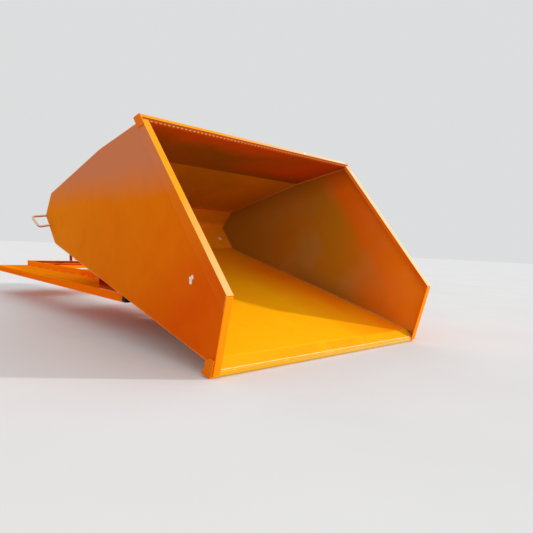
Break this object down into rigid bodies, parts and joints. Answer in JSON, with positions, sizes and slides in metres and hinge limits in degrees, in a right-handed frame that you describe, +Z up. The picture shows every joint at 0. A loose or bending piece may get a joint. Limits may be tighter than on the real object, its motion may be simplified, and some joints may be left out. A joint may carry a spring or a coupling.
{
  "type": "tipping hopper",
  "caption": "Sheet-steel tipping hopper on a fork-tube base, its open bin pivoting forward from a latched, level rim to a pouring pose.",
  "frame": {"origin": "under the tipping axis, on the middle of the base's underside, level with the fork pockets", "axes": "+X to the right seen from the lever end, +Y forward to the pouring lip, +Z up"},
  "size_m": [1.4696, 3.2691, 0.9657],
  "materials": {
    "orange_paint": "semi-gloss orange paint",
    "zinc_steel": "bright zinc plate",
    "black_rubber": "matt",
    "bronze": "machined"
  },
  "bodies": {
    "base": {"fork_tube_left": "orange_paint", "fork_tube_right": "orange_paint", "side_channel_left": "orange_paint", "side_channel_right": "orange_paint", "front_buffer_left": "black_rubber", "front_buffer_right": "black_rubber", "pivot_cheeks_left": "orange_paint", "pivot_cheeks_right": "orange_paint", "pivot_pin_left": "zinc_steel", "pivot_pin_right": "zinc_steel", "tip_stop_left": "orange_paint", "tip_stop_right": "orange_paint", "chain_lug_left": "orange_paint", "chain_lug_right": "orange_paint", "latch_cheek_left": "orange_paint", "latch_cheek_right": "orange_paint", "lever_cheek_left": "orange_paint", "lever_cheek_right": "orange_paint", "fork_rails": "orange_paint", "rear_cross_beam": "orange_paint", "inner_cross_beam": "orange_paint", "latch_beam": "orange_paint", "pivot_beam": "orange_paint", "front_cross_beam": "orange_paint", "rear_deck_plate": "orange_paint", "rest_pads": "black_rubber", "pivot_washers": "zinc_steel", "split_pins": "zinc_steel", "stop_pads": "black_rubber", "latch_bolt": "zinc_steel", "lever_bolt": "zinc_steel", "lock_nuts": "zinc_steel"},
    "bin": {"side_plate_left": "orange_paint", "side_plate_right": "orange_paint", "side_rim_left": "orange_paint", "side_rim_right": "orange_paint", "front_edge_bar_left": "orange_paint", "front_edge_bar_right": "orange_paint", "hinge_lug_left": "orange_paint", "hinge_lug_right": "orange_paint", "hinge_bush_left": "bronze", "hinge_bush_right": "bronze", "grab_handle_left": "orange_paint", "grab_handle_right": "orange_paint", "rear_wall": "orange_paint", "heel_plate": "orange_paint", "chute_plate": "orange_paint", "rear_rim_bar": "orange_paint", "rear_bar_caps": "orange_paint", "lip_bar": "orange_paint", "lip_bar_caps": "orange_paint", "chute_stiffener": "orange_paint", "keeper_lugs": "orange_paint", "keeper_bar": "zinc_steel"},
    "hook": {"latch_hook": "orange_paint", "hook_rod_pin": "zinc_steel"},
    "lever": {"release_lever": "orange_paint", "lever_grip": "black_rubber", "lever_rod_pin": "zinc_steel"},
    "rod": {"pull_rod": "zinc_steel"}
  },
  "joints": [
    {"name": "tip", "type": "hinge", "parent": "base", "child": "bin", "pos_m": [0, 0, 0.139], "axis": [1, 0, 0], "range_deg": [0, 47.7]},
    {"name": "release", "type": "hinge", "parent": "base", "child": "lever", "pos_m": [-0.045, -1.715, 0.1503], "axis": [1, 0, 0], "range_deg": [-28, 0]},
    {"name": "hook_swing", "type": "hinge", "parent": "base", "child": "hook", "pos_m": [-0.045, -0.49461, 0.1503], "axis": [1, 0, 0], "range_deg": [-28, 0]},
    {"name": "rod_swing", "type": "hinge", "parent": "lever", "child": "rod", "pos_m": [-0.045, -1.7029, 0.10179], "axis": [1, 0, 0], "range_deg": [0, 28]}
  ],
  "couplings": [
    {"joint": "hook_swing", "follows": "release", "ratio": 1},
    {"joint": "rod_swing", "follows": "release", "ratio": -1}
  ]
}
